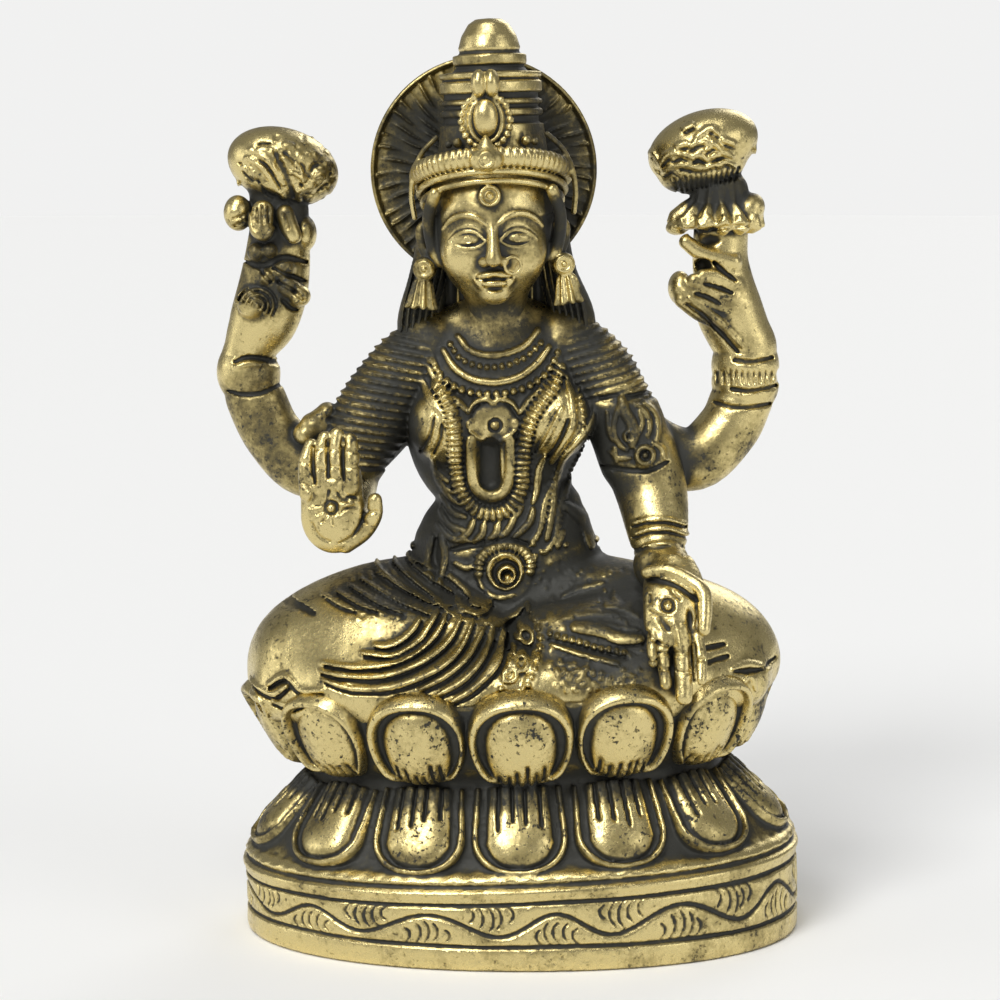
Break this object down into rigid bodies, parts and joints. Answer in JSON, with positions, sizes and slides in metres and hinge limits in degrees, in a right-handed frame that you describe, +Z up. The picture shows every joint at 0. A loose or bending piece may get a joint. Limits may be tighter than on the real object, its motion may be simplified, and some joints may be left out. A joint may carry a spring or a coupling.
{
  "type": "lakshmi figure",
  "caption": "Cast brass figure of the goddess Lakshmi, seated cross-legged on a double lotus over an oval plinth, with a halo and a lotus bud in each raised hand.",
  "frame": {"origin": "centre of the plinth's flat underside, on the surface it stands on", "axes": "+Z up, -Y the way the figure faces, +X to the figure's left"},
  "size_m": [0.0831, 0.0525, 0.1269],
  "materials": {
    "brass": "antique cast brass, rubbed bright on the raised parts, with a brown-black patina in the hollows"
  },
  "bodies": {
    "root": {"lakshmi_figure": "brass"}
  },
  "joints": []
}
